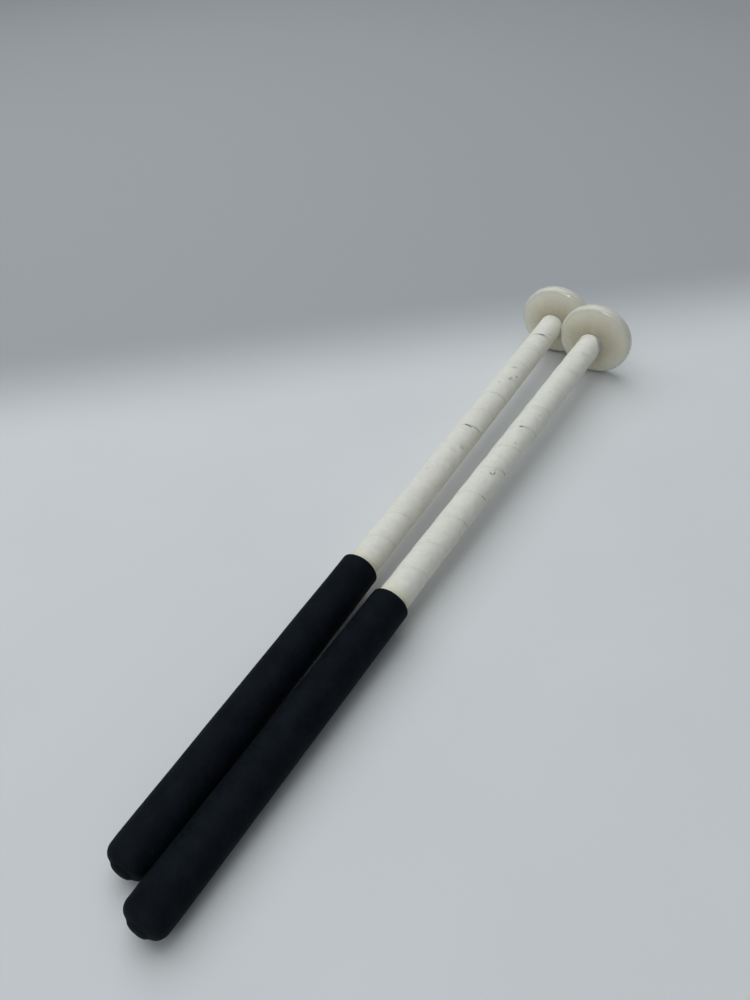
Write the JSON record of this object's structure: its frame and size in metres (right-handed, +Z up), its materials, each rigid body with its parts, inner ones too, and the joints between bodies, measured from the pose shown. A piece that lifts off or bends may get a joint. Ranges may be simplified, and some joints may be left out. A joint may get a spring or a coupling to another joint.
{
  "type": "marching tenor drum mallets",
  "caption": "Pair of marching tenor-drum mallets: aluminium shafts wrapped in white cloth tape, ivory nylon disc heads and black rubber sleeve grips, lying side by side.",
  "frame": {"origin": "on the table, under the centre of the pair's bounding box", "axes": "+Y along the shafts from the grips to the heads, +Z up from the table, +X to the right; the left mallet is on the -X side"},
  "size_m": [0.0638, 0.3564, 0.0381],
  "materials": {
    "shaft_aluminium": "drawn tube, satin, dull where bare",
    "disc_nylon": "moulded nylon, ivory, slightly translucent, satin gloss",
    "insert_aluminium": "machined",
    "fastener_steel": "zinc plated",
    "cloth_tape": "fine woven cotton tape, matte white, lightly worn",
    "grip_rubber": "matte black, fine grain",
    "plug_plastic": "moulded"
  },
  "bodies": {
    "left_mallet": {"left_shaft_tube": "shaft_aluminium", "left_head_disc": "disc_nylon", "left_head_insert": "insert_aluminium", "left_head_screw": "fastener_steel", "left_head_washer": "fastener_steel", "left_shaft_tape": "cloth_tape", "left_grip_sleeve": "grip_rubber", "left_tube_end_plug": "plug_plastic"},
    "right_mallet": {"right_shaft_tube": "shaft_aluminium", "right_head_disc": "disc_nylon", "right_head_insert": "insert_aluminium", "right_head_screw": "fastener_steel", "right_head_washer": "fastener_steel", "right_shaft_tape": "cloth_tape", "right_grip_sleeve": "grip_rubber", "right_tube_end_plug": "plug_plastic"}
  },
  "joints": [
    {"name": "right_mallet_lift", "type": "slide", "parent": "left_mallet", "child": "right_mallet", "axis": [0, -0.0326, 0.9995], "range_m": [0, 0.25]}
  ]
}
